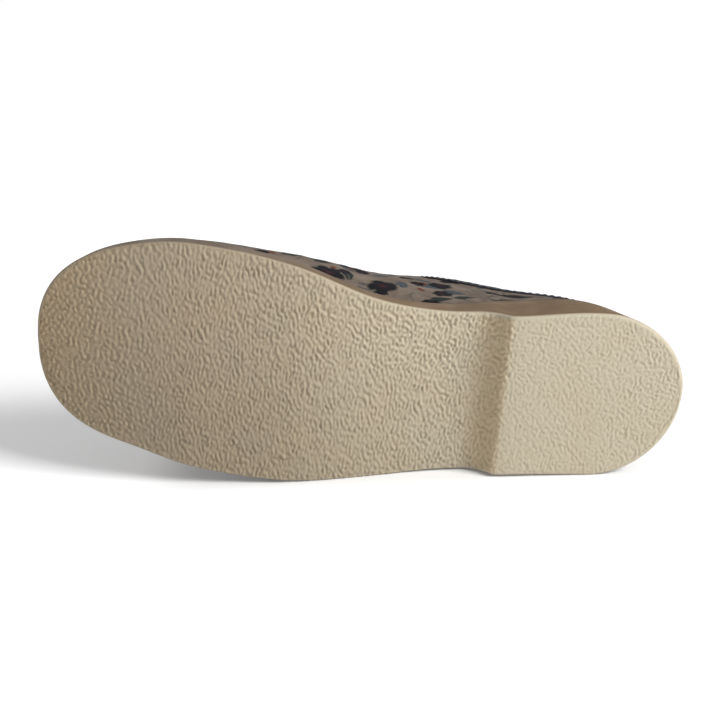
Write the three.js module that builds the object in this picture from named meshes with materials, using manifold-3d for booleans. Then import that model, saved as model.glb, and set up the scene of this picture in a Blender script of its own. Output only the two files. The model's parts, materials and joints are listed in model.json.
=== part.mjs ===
import * as THREE from "three";
import { mergeVertices } from "three/addons/utils/BufferGeometryUtils.js";
import { ConvexHull } from "three/addons/math/ConvexHull.js";
import Module from "manifold-3d";

// A charentaise house slipper for the right foot, in millimetres.
// It is built standing: x runs from the back of the heel to the toe, y towards
// the inner side of the foot and z up, with the floor at z 0.
// At the end it is laid down on its outer side, where its own weight holds it.

const wasm = await Module();
wasm.setup();

// Driving dimensions
const soleLength = 266;
const ballWidth = 97;
const heelHeight = 24.5; // floor to the top of the sole wall at the heel breast
const forefootThickness = 8.5;
const toeThinning = 2; // the sole is this much thinner at the toe tip
const heelLength = 72;
const breastLength = 14; // run of the hollow heel breast
const breastHollow = 2.2; // 1 is a straight slope, more is steeper at the heel's edge
const archRise = 7.5; // floor to the underside of the waist, just before the heel
const toeSpring = 14.5;
const treadEdge = 1.2; // bevel between tread and wall
const innerDraft = THREE.MathUtils.degToRad(2.5); // lean of the sole wall
const outerDraft = THREE.MathUtils.degToRad(4);
const heelRake = 4; // the back of the sole leans in by this much
const feltWall = 3; // printed felt with its fleece lining
const featherInset = 1.2; // sole edge to the foot of the upper
const seamGap = 0.3;
const instepHeight = 76; // top of the instep over the sole, at the tongue
const bulgeHeight = 68; // the sides swell up to here over the sole
const counterBulge = 1.8; // the back of the upper swells out
const heelTuck = 6; // and leans forward at the topline
const collarHeight = 62; // topline over the floor, at the sides
const backRise = 10; // the topline is this much higher at the back
const bindingRadius = 2;
const insoleThickness = 5;

// Foam rubber and felt, in kg per cubic metre
const soleDensity = 650;
const feltDensity = 250;

// Places along the foot, as shares of the sole's length from the heel
const arch = { starts: 0.33, ends: 0.62 };
const springStarts = 0.72;
const counterEnds = 0.3; // the heel's round back has blended into the sides
const tongueTip = 0.42;

// Sole from heel to toe. Each place is a share of the sole's length, the two
// half widths are shares of the ball width, before the ends are rounded, and
// lift is how far the wall's top has climbed from the forefoot to the heel.
const soleSections = [
  { at: 0.0, inner: 0.33, outer: 0.38, lift: 0.76 },
  { at: 0.15, inner: 0.334, outer: 0.398, lift: 0.85 },
  { at: 0.26, inner: 0.296, outer: 0.427, lift: 0.98 },
  { at: 0.37, inner: 0.272, outer: 0.462, lift: 0.65 },
  { at: 0.47, inner: 0.31, outer: 0.503, lift: 0.34 },
  { at: 0.6, inner: 0.437, outer: 0.533, lift: 0.02 },
  { at: 0.74, inner: 0.495, outer: 0.502, lift: 0.0 },
  { at: 0.86, inner: 0.486, outer: 0.424, lift: 0.0 },
  { at: 1.0, inner: 0.48, outer: 0.385, lift: 0.0 },
];

// How far the round ends reach, as shares of the length, and how blunt they are
const treadEnds = {
  heel: { reach: 0.13, blunt: 2.0 },
  innerToe: { reach: 0.24, blunt: 2.2 },
  outerToe: { reach: 0.16, blunt: 2.6 },
};
const featherEnds = { ...treadEnds, heel: { reach: 0.2, blunt: 2.2 } };

// Upper from heel to toe. ridge is its height over the sole as a share of the
// instep height, square is how boxy the section is, lean is how far both sides
// come in for their height, the two bulges are shares of the ball width, and
// drift moves the ridge to the inner side.
const upperSections = [
  { at: 0.0, ridge: 1.3, square: 3.0, lean: 0.28, inner: 0.0, outer: 0.0, drift: 0.0 },
  { at: 0.17, ridge: 1.3, square: 2.8, lean: 0.25, inner: 0.0, outer: 0.02, drift: 0.0 },
  { at: 0.28, ridge: 1.27, square: 2.6, lean: 0.11, inner: 0.0, outer: 0.05, drift: 0.0 },
  { at: 0.38, ridge: 1.16, square: 2.4, lean: 0.04, inner: 0.022, outer: 0.05, drift: 0.0 },
  { at: 0.46, ridge: 0.99, square: 2.2, lean: 0.0, inner: 0.018, outer: 0.03, drift: 0.01 },
  { at: 0.54, ridge: 0.82, square: 2.1, lean: 0.0, inner: 0.013, outer: 0.02, drift: 0.03 },
  { at: 0.64, ridge: 0.66, square: 2.1, lean: 0.0, inner: -0.01, outer: 0.01, drift: 0.05 },
  { at: 0.77, ridge: 0.52, square: 2.2, lean: 0.0, inner: -0.025, outer: 0.0, drift: 0.06 },
  { at: 0.88, ridge: 0.44, square: 2.3, lean: 0.0, inner: -0.025, outer: 0.0, drift: 0.05 },
  { at: 1.0, ridge: 0.38, square: 2.4, lean: 0.0, inner: 0.0, outer: 0.0, drift: 0.0 },
];
const toeBox = { reach: 0.17, blunt: 2.3 }; // the toe's round top

// Topline seen from the side, over the height of its sides: back is a share of
// the rise at the heel, and tongue a share of the rise to the tip of the tongue.
const topline = [
  { at: -0.1, back: 1.1, tongue: 0.0 },
  { at: 0.0, back: 1.0, tongue: 0.0 },
  { at: 0.1, back: 0.55, tongue: 0.0 },
  { at: 0.2, back: 0.08, tongue: 0.0 },
  { at: 0.27, back: 0.0, tongue: 0.04 },
  { at: 0.33, back: 0.0, tongue: 0.24 },
  { at: 0.38, back: 0.0, tongue: 0.58 },
  { at: tongueTip, back: 0.0, tongue: 1.0 },
  { at: 0.48, back: 0.0, tongue: 1.7 },
];

// Smoothness of the meshes
const stations = 52;
const stationSpacing = 0.012; // least, next to the heel breast
const breastSteps = [0, 0.15, 0.35, 0.6, 1];
const arcSteps = 24;
const cutSteps = 44;
const bindingSteps = 64;
const bindingSides = 8;

// A smooth curve through one column of a table, at a share of the length.
function along(rows, column, share) {
  const last = rows.length - 1;
  const s = THREE.MathUtils.clamp(share, rows[0].at, rows[last].at);
  let i = 0;
  while (i < last - 1 && s > rows[i + 1].at) i += 1;
  const slope = (k) => {
    const a = rows[Math.max(k - 1, 0)];
    const b = rows[Math.min(k + 1, last)];
    return (b[column] - a[column]) / (b.at - a.at);
  };
  const span = rows[i + 1].at - rows[i].at;
  const t = (s - rows[i].at) / span;
  const t2 = t * t;
  const t3 = t2 * t;
  return (
    (2 * t3 - 3 * t2 + 1) * rows[i][column] +
    (t3 - 2 * t2 + t) * span * slope(i) +
    (3 * t2 - 2 * t3) * rows[i + 1][column] +
    (t3 - t2) * span * slope(i + 1)
  );
}

// Rises from 0 at the tip of a round end to 1 where the end stops.
function roundEnd(distance, end) {
  const u = THREE.MathUtils.clamp(distance / end.reach, 0, 1);
  return (1 - (1 - u) ** end.blunt) ** (1 / end.blunt);
}

// Half width of an outline on one side, side 1 inner and -1 outer.
function halfWidth(share, side, ends, inset) {
  const column = side > 0 ? "inner" : "outer";
  const toe = side > 0 ? ends.innerToe : ends.outerToe;
  const full = ballWidth * along(soleSections, column, share) - inset;
  return full * roundEnd(share, ends.heel) * roundEnd(1 - share, toe);
}

// The two edges of the hollow heel breast, as shares of the length.
const breast = [heelLength / soleLength, (heelLength + breastLength) / soleLength];

const toeLift = (share) => toeSpring * Math.max(0, (share - springStarts) / (1 - springStarts)) ** 2;

// Underside of the sole: flat heel, hollow breast, raised waist, flat ball, toe spring.
function groundHeight(share) {
  const t = THREE.MathUtils.clamp((share - breast[0]) / (breast[1] - breast[0]), 0, 1);
  const ramp = 1 - (1 - t) ** breastHollow;
  const waist = 1 - THREE.MathUtils.smoothstep(share, arch.starts, arch.ends);
  return archRise * ramp * waist + toeLift(share);
}

// Top of the sole, where the upper meets it.
function featherHeight(share) {
  const thinning = toeThinning * THREE.MathUtils.smoothstep(share, springStarts, 1);
  const lift = (heelHeight - forefootThickness) * along(soleSections, "lift", share);
  return forefootThickness - thinning + lift + toeLift(share);
}

// How far the sole's wall leans in on its way up.
function wallDrop(share, side) {
  const draft = side > 0 ? innerDraft : outerDraft;
  return Math.tan(draft) * (featherHeight(share) - groundHeight(share));
}

const soleTopX = (share) => heelRake + share * (soleLength - heelRake - treadEdge);

// Shares of the length, closer together at the two ends.
function sharesOf(count) {
  const made = [];
  for (let i = 0; i <= count; i += 1) made.push((1 - Math.cos((Math.PI * i) / count)) / 2);
  return made;
}

// The same, with stations of its own across the heel breast.
function soleShares() {
  const inside = breastSteps.map((t) => THREE.MathUtils.lerp(...breast, t));
  const clear = (share) => inside.every((edge) => Math.abs(share - edge) > stationSpacing);
  return [...sharesOf(stations).filter(clear), ...inside].sort((a, b) => a - b);
}

// A closed body over rings of points that all have the same count.
function bodyFromRings(rings) {
  const count = rings[0].length;
  const positions = rings.flat().flatMap((p) => [p.x, p.y, p.z]);
  const index = [];
  for (let i = 0; i < rings.length - 1; i += 1) {
    for (let j = 0; j < count; j += 1) {
      const a = i * count + j;
      const b = i * count + ((j + 1) % count);
      const c = (i + 1) * count + j;
      const d = (i + 1) * count + ((j + 1) % count);
      index.push(a, b, c, b, d, c);
    }
  }
  const geometry = new THREE.BufferGeometry();
  geometry.setAttribute("position", new THREE.Float32BufferAttribute(positions, 3));
  geometry.setIndex(index);
  return solidOf(geometry);
}

// A manifold solid of a closed geometry, without its empty triangles.
function solidOf(geometry) {
  const bare = new THREE.BufferGeometry();
  bare.setAttribute("position", geometry.getAttribute("position"));
  bare.setIndex(geometry.getIndex());
  const merged = mergeVertices(bare, 1e-4);
  const source = merged.index.array;
  const kept = [];
  for (let i = 0; i < source.length; i += 3) {
    const [a, b, c] = [source[i], source[i + 1], source[i + 2]];
    if (a !== b && b !== c && c !== a) kept.push(a, b, c);
  }
  const mesh = new wasm.Mesh({
    numProp: 3,
    vertProperties: merged.attributes.position.array,
    triVerts: new Uint32Array(kept),
  });
  return new wasm.Manifold(mesh);
}

function geometryOf(solid) {
  const mesh = solid.getMesh();
  const geometry = new THREE.BufferGeometry();
  const positions = new Float32Array(mesh.vertProperties);
  geometry.setAttribute("position", new THREE.BufferAttribute(positions, 3));
  geometry.setIndex(new THREE.BufferAttribute(new Uint32Array(mesh.triVerts), 1));
  const flat = geometry.toNonIndexed();
  flat.computeVertexNormals();
  return flat;
}

// Outsole: one moulded sole with tread, bevelled edge, wall and flat top.
function makeOutsole() {
  const rings = soleShares().map((share) => {
    const low = groundHeight(share);
    const high = featherHeight(share);
    const lowX = share * soleLength;
    const bevelX = treadEdge + share * (soleLength - 2 * treadEdge);
    const point = (x, side, ends, inset, z) =>
      new THREE.Vector3(x, side * Math.max(halfWidth(share, side, ends, inset), 0), z);
    const top = (side) => point(soleTopX(share), side, featherEnds, wallDrop(share, side), high);
    const edge = (side) => point(lowX, side, treadEnds, 0, low + treadEdge);
    const tread = (side) => point(bevelX, side, treadEnds, treadEdge, low);
    return [tread(1), edge(1), top(1), top(-1), edge(-1), tread(-1)];
  });
  return bodyFromRings(rings);
}

// Half width of the upper at a height over the sole, inset from its outside.
function upperHalfWidth(share, side, height, inset) {
  const square = along(upperSections, "square", share);
  const lean = height * along(upperSections, "lean", share);
  const inward = wallDrop(share, side) + featherInset + inset + lean;
  const foot = halfWidth(share, side, featherEnds, inward);
  const swell = Math.sin(Math.PI * THREE.MathUtils.clamp(height / bulgeHeight, 0, 1));
  const bulge = ballWidth * along(upperSections, side > 0 ? "inner" : "outer", share);
  const round = (1 - rise(share, height, inset) ** square) ** (1 / square);
  const ends = roundEnd(share, featherEnds.heel) * roundEnd(1 - share, toeBox);
  return Math.max(foot + bulge * swell * ends, 0) * round;
}

function upperRidge(share, inset) {
  const full = instepHeight * along(upperSections, "ridge", share) - inset;
  return full * roundEnd(1 - share, toeBox);
}

// A height over the sole as a share of the ridge there.
function rise(share, height, inset) {
  const ridge = upperRidge(share, inset);
  return ridge > 0 ? THREE.MathUtils.clamp(height / ridge, 0, 1) : 0;
}

// Where a station of the upper lies along x, at a height over the sole.
function upperX(share, height, inset) {
  const start = heelRake + featherInset + inset;
  const end = soleLength - treadEdge - featherInset - inset;
  const fade = Math.max(0, 1 - share / counterEnds) ** 2;
  const h = Math.max(height, 0) / collarHeight;
  const back = heelTuck * h * h - counterBulge * Math.sin(Math.PI * Math.min(h, 1));
  return start + share * (end - start) + back * fade;
}

function upperPoint(share, side, height, inset) {
  const drift = ballWidth * along(upperSections, "drift", share);
  const lean = drift * rise(share, height, inset) ** 2 * roundEnd(1 - share, toeBox);
  return new THREE.Vector3(
    upperX(share, height, inset),
    side * upperHalfWidth(share, side, height, inset) + lean,
    featherHeight(share) + seamGap + height,
  );
}

// The shape of the foot form, closed all round, sunk below the sole's top by depth.
function footForm(inset, depth) {
  const rings = sharesOf(stations).map((share) => {
    const ridge = upperRidge(share, inset);
    const square = along(upperSections, "square", share);
    const half = arcSteps / 2;
    const points = [];
    for (let j = 0; j <= arcSteps; j += 1) {
      const turn = (Math.PI * j) / arcSteps;
      const height = j === half ? ridge : ridge * Math.sin(turn) ** (2 / square);
      points.push(upperPoint(share, j <= half ? 1 : -1, height, inset));
    }
    const below = new THREE.Vector3(0, 0, -depth);
    const first = points[0].clone().add(below);
    const last = points[arcSteps].clone().add(below);
    return depth > 0 ? [first, ...points, last] : points;
  });
  return bodyFromRings(rings);
}

function toplineHeight(x) {
  const share = x / soleLength;
  const tip = upperPoint(tongueTip, 1, upperRidge(tongueTip, 0), 0).z;
  const back = backRise * along(topline, "back", share);
  return collarHeight + back + (tip - collarHeight) * along(topline, "tongue", share);
}

// A side profile, points of x and z, run right across the slipper.
function acrossWidth(profile) {
  const options = { depth: 2 * ballWidth, bevelEnabled: false };
  const geometry = new THREE.ExtrudeGeometry(new THREE.Shape(profile), options);
  geometry.rotateX(Math.PI / 2);
  geometry.translate(0, ballWidth, 0);
  return solidOf(geometry);
}

// Everything over the topline and behind the tongue.
function collarCutter() {
  const from = topline[0].at * soleLength;
  const to = topline.at(-1).at * soleLength;
  const over = 2 * toplineHeight(to);
  const profile = [new THREE.Vector2(to, over), new THREE.Vector2(from, over)];
  for (let i = 0; i <= cutSteps; i += 1) {
    const x = from + ((to - from) * i) / cutSteps;
    profile.push(new THREE.Vector2(x, toplineHeight(x)));
  }
  return acrossWidth(profile);
}

// Upper: one felt shell, open at the collar and underneath.
function makeUpper() {
  const outside = footForm(0, 0);
  const inside = footForm(feltWall, insoleThickness);
  return outside.subtract(inside).subtract(collarCutter());
}

// Insole: a slab that follows the sole's top, cut to the inside of the upper.
function makeInsole() {
  const under = soleShares().map(
    (share) => new THREE.Vector2(soleTopX(share), featherHeight(share) + seamGap),
  );
  const over = under.map((p) => new THREE.Vector2(p.x, p.y + insoleThickness));
  const slab = acrossWidth([...under, ...over.reverse()]);
  return footForm(feltWall + seamGap, insoleThickness).intersect(slab);
}

// The station at which the topline crosses the ridge of the tongue.
function crossesRidge(inset) {
  let low = counterEnds;
  let high = topline.at(-1).at;
  while (high - low > 1e-6) {
    const share = (low + high) / 2;
    const top = upperPoint(share, 1, upperRidge(share, inset), inset);
    if (top.z > toplineHeight(top.x)) low = share;
    else high = share;
  }
  return low;
}

// A point of the topline on the middle of the felt, lifted off it by clear.
// The height is put right by how far each try misses the topline.
function toplinePoint(share, side, clear) {
  const inset = feltWall / 2;
  const top = upperRidge(share, inset);
  let height = collarHeight;
  let point = upperPoint(share, side, height, inset);
  for (let tries = 0; tries < 30; tries += 1) {
    height = Math.min(height + toplineHeight(point.x) - point.z, top);
    point = upperPoint(share, side, height, inset);
  }
  const climb = toplineHeight(point.x + 1) - toplineHeight(point.x - 1);
  const away = new THREE.Vector3(-climb, 0, 2).normalize();
  return point.addScaledVector(away, clear);
}

// Binding: a round tape that rides on the cut edge of the felt.
function makeBinding() {
  const tip = crossesRidge(feltWall / 2);
  const clear = bindingRadius + seamGap;
  const half = bindingSteps / 2;
  const points = [];
  for (let i = 0; i < bindingSteps; i += 1) {
    const turn = (Math.PI * i) / half;
    const share = (tip * (1 - Math.cos(turn))) / 2;
    points.push(toplinePoint(share, i <= half ? 1 : -1, clear));
  }
  const path = new THREE.CatmullRomCurve3(points, true);
  return solidOf(new THREE.TubeGeometry(path, 2 * bindingSteps, bindingRadius, bindingSides, true));
}

function felt(colour) {
  return new THREE.MeshStandardMaterial({ color: colour, roughness: 0.95, metalness: 0 });
}

function named(name, solid, material) {
  const mesh = new THREE.Mesh(geometryOf(solid), material);
  mesh.name = name;
  return mesh;
}

// Volume of a closed mesh, and that volume times its centre.
function volumeOf(geometry) {
  const p = geometry.getAttribute("position");
  const [a, b, c] = [new THREE.Vector3(), new THREE.Vector3(), new THREE.Vector3()];
  const moment = new THREE.Vector3();
  let volume = 0;
  for (let i = 0; i < p.count; i += 3) {
    a.fromBufferAttribute(p, i);
    b.fromBufferAttribute(p, i + 1);
    c.fromBufferAttribute(p, i + 2);
    const v = a.dot(b.clone().cross(c)) / 6;
    volume += v;
    moment.addScaledVector(a.clone().add(b).add(c), v / 4);
  }
  return { volume, moment };
}

function centreOfMass(meshes) {
  const total = new THREE.Vector3();
  let mass = 0;
  for (const mesh of meshes) {
    const density = mesh.name === "outsole" ? soleDensity : feltDensity;
    const { volume, moment } = volumeOf(mesh.geometry);
    total.addScaledVector(moment, density);
    mass += volume * density;
  }
  return total.divideScalar(mass);
}

// The three points on which the slipper comes to rest, lying on its outer side:
// the face of its hull that the centre of mass stands over, nearest that side.
function restingFace(meshes) {
  const points = [];
  for (const mesh of meshes) {
    const p = mesh.geometry.getAttribute("position");
    for (let i = 0; i < p.count; i += 1) points.push(new THREE.Vector3().fromBufferAttribute(p, i));
  }
  const centre = centreOfMass(meshes);
  const outward = new THREE.Vector3(0, -1, 0);
  let best = null;
  for (const face of new ConvexHull().setFromPoints(points).faces) {
    const corners = [0, 1, 2].map((k) => face.getEdge(k).head().point);
    const triangle = new THREE.Triangle(...corners);
    const foot = centre.clone().addScaledVector(face.normal, -face.distanceToPoint(centre));
    if (!triangle.containsPoint(foot)) continue;
    if (!best || face.normal.dot(outward) > best.normal.dot(outward)) best = face;
  }
  return best;
}

// Lays the standing slipper down, sole towards -y and toe towards -x, with the
// middle of its bounding box's underside at the origin.
function layDown(standing) {
  const down = restingFace(standing.children).normal;
  const zAxis = down.clone().negate();
  const toe = new THREE.Vector3(1, 0, 0);
  const xAxis = toe.addScaledVector(zAxis, -toe.dot(zAxis)).normalize().negate();
  const yAxis = zAxis.clone().cross(xAxis);
  const turn = new THREE.Matrix4().makeBasis(xAxis, yAxis, zAxis).transpose();
  standing.quaternion.setFromRotationMatrix(turn);
  standing.updateMatrixWorld(true);
  const box = new THREE.Box3().setFromObject(standing, true);
  const middle = box.getCenter(new THREE.Vector3());
  standing.position.set(-middle.x, -middle.y, -box.min.z);
  standing.updateMatrixWorld(true);
}

const foamRubber = new THREE.MeshStandardMaterial({ color: 0xd2c6a8, roughness: 0.7, metalness: 0 });
const standing = new THREE.Group();
standing.add(
  named("outsole", makeOutsole(), foamRubber),
  named("upper", makeUpper(), felt(0xa39b95)),
  named("insole", makeInsole(), felt(0xd8cfbe)),
  named("collar_binding", makeBinding(), felt(0x2b2d38)),
);
layDown(standing);

const slipper = new THREE.Group();
slipper.add(standing);
slipper.updateMatrixWorld(true);

export default slipper;
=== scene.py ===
import json
import math

import bmesh
import bpy
import numpy as np
from mathutils import Matrix, Vector


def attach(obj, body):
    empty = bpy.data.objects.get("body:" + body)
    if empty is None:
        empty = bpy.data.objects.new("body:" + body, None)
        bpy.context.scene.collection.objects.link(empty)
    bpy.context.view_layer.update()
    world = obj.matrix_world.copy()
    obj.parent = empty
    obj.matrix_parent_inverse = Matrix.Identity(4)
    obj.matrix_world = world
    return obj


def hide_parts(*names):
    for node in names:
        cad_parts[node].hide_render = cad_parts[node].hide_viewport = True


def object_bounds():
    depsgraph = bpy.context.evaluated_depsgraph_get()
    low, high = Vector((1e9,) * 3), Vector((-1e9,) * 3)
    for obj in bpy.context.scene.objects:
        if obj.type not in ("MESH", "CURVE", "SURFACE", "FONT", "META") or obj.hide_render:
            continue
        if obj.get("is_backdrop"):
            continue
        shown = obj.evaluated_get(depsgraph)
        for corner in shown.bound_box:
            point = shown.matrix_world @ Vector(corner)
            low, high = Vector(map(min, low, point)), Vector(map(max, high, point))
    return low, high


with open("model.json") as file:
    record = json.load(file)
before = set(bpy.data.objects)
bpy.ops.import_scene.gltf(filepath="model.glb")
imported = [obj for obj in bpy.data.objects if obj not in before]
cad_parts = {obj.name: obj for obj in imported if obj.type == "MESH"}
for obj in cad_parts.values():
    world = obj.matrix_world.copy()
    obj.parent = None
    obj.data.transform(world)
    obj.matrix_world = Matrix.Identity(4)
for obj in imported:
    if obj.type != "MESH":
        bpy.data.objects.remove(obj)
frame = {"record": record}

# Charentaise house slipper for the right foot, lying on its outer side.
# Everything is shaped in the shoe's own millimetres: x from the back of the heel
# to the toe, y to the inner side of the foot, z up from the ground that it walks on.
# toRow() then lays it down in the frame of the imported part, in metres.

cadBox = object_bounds()
print("frame loaded, box", [[round(c, 4) for c in corner] for corner in cadBox])

# The two flat spots of the tread give the shoe's own axes.
spots = {m["name"]: m for m in frame["record"]["mounts"]}
heelSpotMm = 35.0  # the first spot's place from the back of the heel
heelSpot = Vector(spots["heel_ground"]["pos_m"])
ballSpot = Vector(spots["forefoot_ground"]["pos_m"])
toeAxis = (ballSpot - heelSpot).normalized()
upAxis = -Vector(spots["heel_ground"]["axis"]).normalized()
innerAxis = upAxis.cross(toeAxis)
heelBack = heelSpot - toeAxis * heelSpotMm / 1000
shoeAxes = np.array([toeAxis, innerAxis, upAxis])


def toRow(points):
    return np.asarray(points) / 1000 @ shoeAxes + np.array(heelBack)


# The last: one set of sizes in millimetres for every piece
last = {
    "soleLength": 266.0,
    "ballWidth": 97.0,
    "heelHeight": 24.5,
    "forefootThickness": 8.5,
    "toeThinning": 2.0,
    "heelLength": 72.0,
    "breastLength": 14.0,
    "breastHollow": 2.2,
    "breastRound": 0.08,
    "archRise": 7.5,
    "archStarts": 0.33,
    "archEnds": 0.62,
    "toeSpring": 14.5,
    "springStarts": 0.72,
    "edgeRound": 1.2,
    "innerDraft": math.radians(2.5),
    "outerDraft": math.radians(4),
    "heelRake": 4.0,
    "wall": 3.0,
    "featherInset": 1.2,
    "gap": 0.3,
    "instepHeight": 76.0,
    "bulgeHeight": 68.0,
    "counterBulge": 1.8,
    "counterEnds": 0.3,
    "heelTuck": 6.0,
    "collarHeight": 62.0,
    "backRise": 10.0,
    "tongueTip": 0.42,
    "insoleThickness": 5.0,
}

soleRows = {
    "at": [0, 0.15, 0.26, 0.37, 0.47, 0.6, 0.74, 0.86, 1],
    "inner": [0.33, 0.334, 0.296, 0.272, 0.31, 0.437, 0.495, 0.486, 0.48],
    "outer": [0.38, 0.398, 0.427, 0.462, 0.503, 0.533, 0.502, 0.424, 0.385],
    "lift": [0.76, 0.85, 0.98, 0.65, 0.34, 0.02, 0, 0, 0],
}
upperRows = {
    "at": [0, 0.17, 0.28, 0.38, 0.46, 0.54, 0.64, 0.77, 0.88, 1],
    "ridge": [1.3, 1.3, 1.27, 1.16, 0.99, 0.82, 0.66, 0.52, 0.44, 0.38],
    "square": [3, 2.8, 2.6, 2.4, 2.2, 2.1, 2.1, 2.2, 2.3, 2.4],
    "lean": [0.28, 0.25, 0.11, 0.04, 0, 0, 0, 0, 0, 0],
    "inner": [0, 0, 0, 0.022, 0.018, 0.013, -0.01, -0.025, -0.025, 0],
    "outer": [0, 0.02, 0.05, 0.05, 0.03, 0.02, 0.01, 0, 0, 0],
    "drift": [0, 0, 0, 0, 0.01, 0.03, 0.05, 0.06, 0.05, 0],
}
toplineRows = {
    "at": [-0.1, 0, 0.1, 0.2, 0.27, 0.33, 0.38, 0.42, 0.48],
    "back": [1.1, 1, 0.55, 0.08, 0, 0, 0, 0, 0],
    "tongue": [0, 0, 0, 0, 0.04, 0.24, 0.58, 1, 1.7],
}
treadHeel, featherHeel = (0.13, 2.0), (0.2, 2.2)  # reach and bluntness of the round ends
innerToe, outerToe, toeBox = (0.24, 2.2), (0.16, 2.6), (0.17, 2.3)


def along(rows, column, share):
    at, value = np.array(rows["at"], float), np.array(rows[column], float)
    k = np.arange(len(at))
    before, after = np.maximum(k - 1, 0), np.minimum(k + 1, len(at) - 1)
    slope = (value[after] - value[before]) / (at[after] - at[before])
    s = np.clip(share, at[0], at[-1])
    i = np.clip(np.searchsorted(at, s) - 1, 0, len(at) - 2)
    span = at[i + 1] - at[i]
    t = (s - at[i]) / span
    return (
        (2 * t**3 - 3 * t**2 + 1) * value[i]
        + (t**3 - 2 * t**2 + t) * span * slope[i]
        + (3 * t**2 - 2 * t**3) * value[i + 1]
        + (t**3 - t**2) * span * slope[i + 1]
    )


def smooth(x, low, high):
    t = np.clip((x - low) / (high - low), 0, 1)
    return t * t * (3 - 2 * t)


def bell(x, middle, width):
    return np.exp(-(((x - middle) / width) ** 2))


def roundEnd(distance, end):
    reach, blunt = end
    u = np.clip(distance / reach, 0, 1)
    return (1 - (1 - u) ** blunt) ** (1 / blunt)


def halfWidth(share, side, heel, inset):
    column, toe = ("inner", innerToe) if side > 0 else ("outer", outerToe)
    full = last["ballWidth"] * along(soleRows, column, share) - inset
    return np.maximum(full * roundEnd(share, heel) * roundEnd(1 - share, toe), 0)


def toeLift(share):
    start = last["springStarts"]
    return last["toeSpring"] * np.maximum(0, (share - start) / (1 - start)) ** 2


def groundHeight(share):
    t = (share * last["soleLength"] - last["heelLength"]) / last["breastLength"]
    t = np.minimum((t + np.sqrt(t**2 + last["breastRound"] ** 2)) / 2, 1)
    ramp = 1 - (1 - t) ** last["breastHollow"]
    arch = 1 - smooth(share, last["archStarts"], last["archEnds"])
    return last["archRise"] * ramp * arch + toeLift(share)


def featherHeight(share):
    thinning = last["toeThinning"] * smooth(share, last["springStarts"], 1)
    climb = last["heelHeight"] - last["forefootThickness"]
    base = last["forefootThickness"] - thinning + toeLift(share)
    return base + climb * along(soleRows, "lift", share)


def wallDrop(share, side):
    draft = last["innerDraft"] if side > 0 else last["outerDraft"]
    return math.tan(draft) * (featherHeight(share) - groundHeight(share))


def upperRidge(share, inset):
    full = last["instepHeight"] * along(upperRows, "ridge", share) - inset
    return full * roundEnd(1 - share, toeBox)


def flank(share, side, height, inset):
    inward = wallDrop(share, side) + last["featherInset"] + inset
    inward = inward + height * along(upperRows, "lean", share)
    swell = np.sin(math.pi * np.clip(height / last["bulgeHeight"], 0, 1))
    bulge = last["ballWidth"] * along(upperRows, "inner" if side > 0 else "outer", share)
    ends = roundEnd(share, featherHeel) * roundEnd(1 - share, toeBox)
    return np.maximum(halfWidth(share, side, featherHeel, inward) + bulge * swell * ends, 0)


def upperX(share, height, inset):
    start = last["heelRake"] + last["featherInset"] + inset
    end = last["soleLength"] - last["edgeRound"] - last["featherInset"] - inset
    fade = np.maximum(0, 1 - share / last["counterEnds"]) ** 2
    h = np.maximum(height, 0) / last["collarHeight"]
    back = last["heelTuck"] * h**2
    back = back - last["counterBulge"] * np.sin(math.pi * np.minimum(h, 1))
    return start + share * (end - start) + back * fade


def upperPoint(share, side, height, inset):
    share, height = np.broadcast_arrays(np.asarray(share, float), np.asarray(height, float))
    ridge = upperRidge(share, inset)
    rise = np.clip(height / np.maximum(ridge, 1e-9), 0, 1)
    square = along(upperRows, "square", share)
    width = flank(share, side, height, inset) * (1 - rise**square) ** (1 / square)
    drift = last["ballWidth"] * along(upperRows, "drift", share) * rise**2
    drift = drift * roundEnd(1 - share, toeBox)
    x = upperX(share, height, inset)
    z = featherHeight(share) + last["gap"] + height
    return np.stack([x, side * width + drift, z], -1)


def toplineHeight(x):
    share = x / last["soleLength"]
    tipShare = last["tongueTip"]
    tip = upperPoint(tipShare, 1, upperRidge(tipShare, 0), 0)[..., 2]
    back = last["backRise"] * along(toplineRows, "back", share)
    tongue = (tip - last["collarHeight"]) * along(toplineRows, "tongue", share)
    return last["collarHeight"] + back + tongue


def collarLimit(share, side, inset):
    top = upperRidge(share, inset)
    height = np.minimum(np.full_like(share, last["collarHeight"]), top)
    for _ in range(40):
        point = upperPoint(share, side, height, inset)
        height = np.minimum(height + toplineHeight(point[..., 0]) - point[..., 2], top)
    return height


def tipStation(inset):
    low, high = last["counterEnds"], toplineRows["at"][-1]
    while high - low > 1e-6:
        share = (low + high) / 2
        top = upperPoint(share, 1, upperRidge(share, inset), inset)
        below = top[2] > toplineHeight(top[0])
        low, high = (share, high) if below else (low, share)
    return low


def outwardNormals(points, side):
    def level(p):
        x, y, z = p[..., 0], p[..., 1], p[..., 2]
        share = np.clip(x / last["soleLength"], 0, 1)
        for _ in range(6):
            height = z - featherHeight(share) - last["gap"]
            start = upperX(share, height, 0)
            share = np.clip(share + (x - start) / last["soleLength"], 1e-4, 1 - 1e-4)
        height = np.maximum(z - featherHeight(share) - last["gap"], 0)
        ridge = np.maximum(upperRidge(share, 0), 1)
        square = along(upperRows, "square", share)
        rise = height / ridge
        drift = last["ballWidth"] * along(upperRows, "drift", share) * rise**2
        width = np.maximum(flank(share, side, height, 0), 0.5)
        return (np.abs(y - drift) / width) ** square + rise**square
    step = 0.4
    slopes = [level(points + step * e) - level(points - step * e) for e in np.eye(3)]
    normal = np.stack(slopes, -1)
    return normal / np.maximum(np.linalg.norm(normal, axis=-1, keepdims=True), 1e-9)


# Mesh making

uvTile = 100.0  # millimetres to one unit of the UV map
floorClear = 1e-5  # metres; felt goes flat where it lies on the floor
weldWithin = 2e-6


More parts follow.
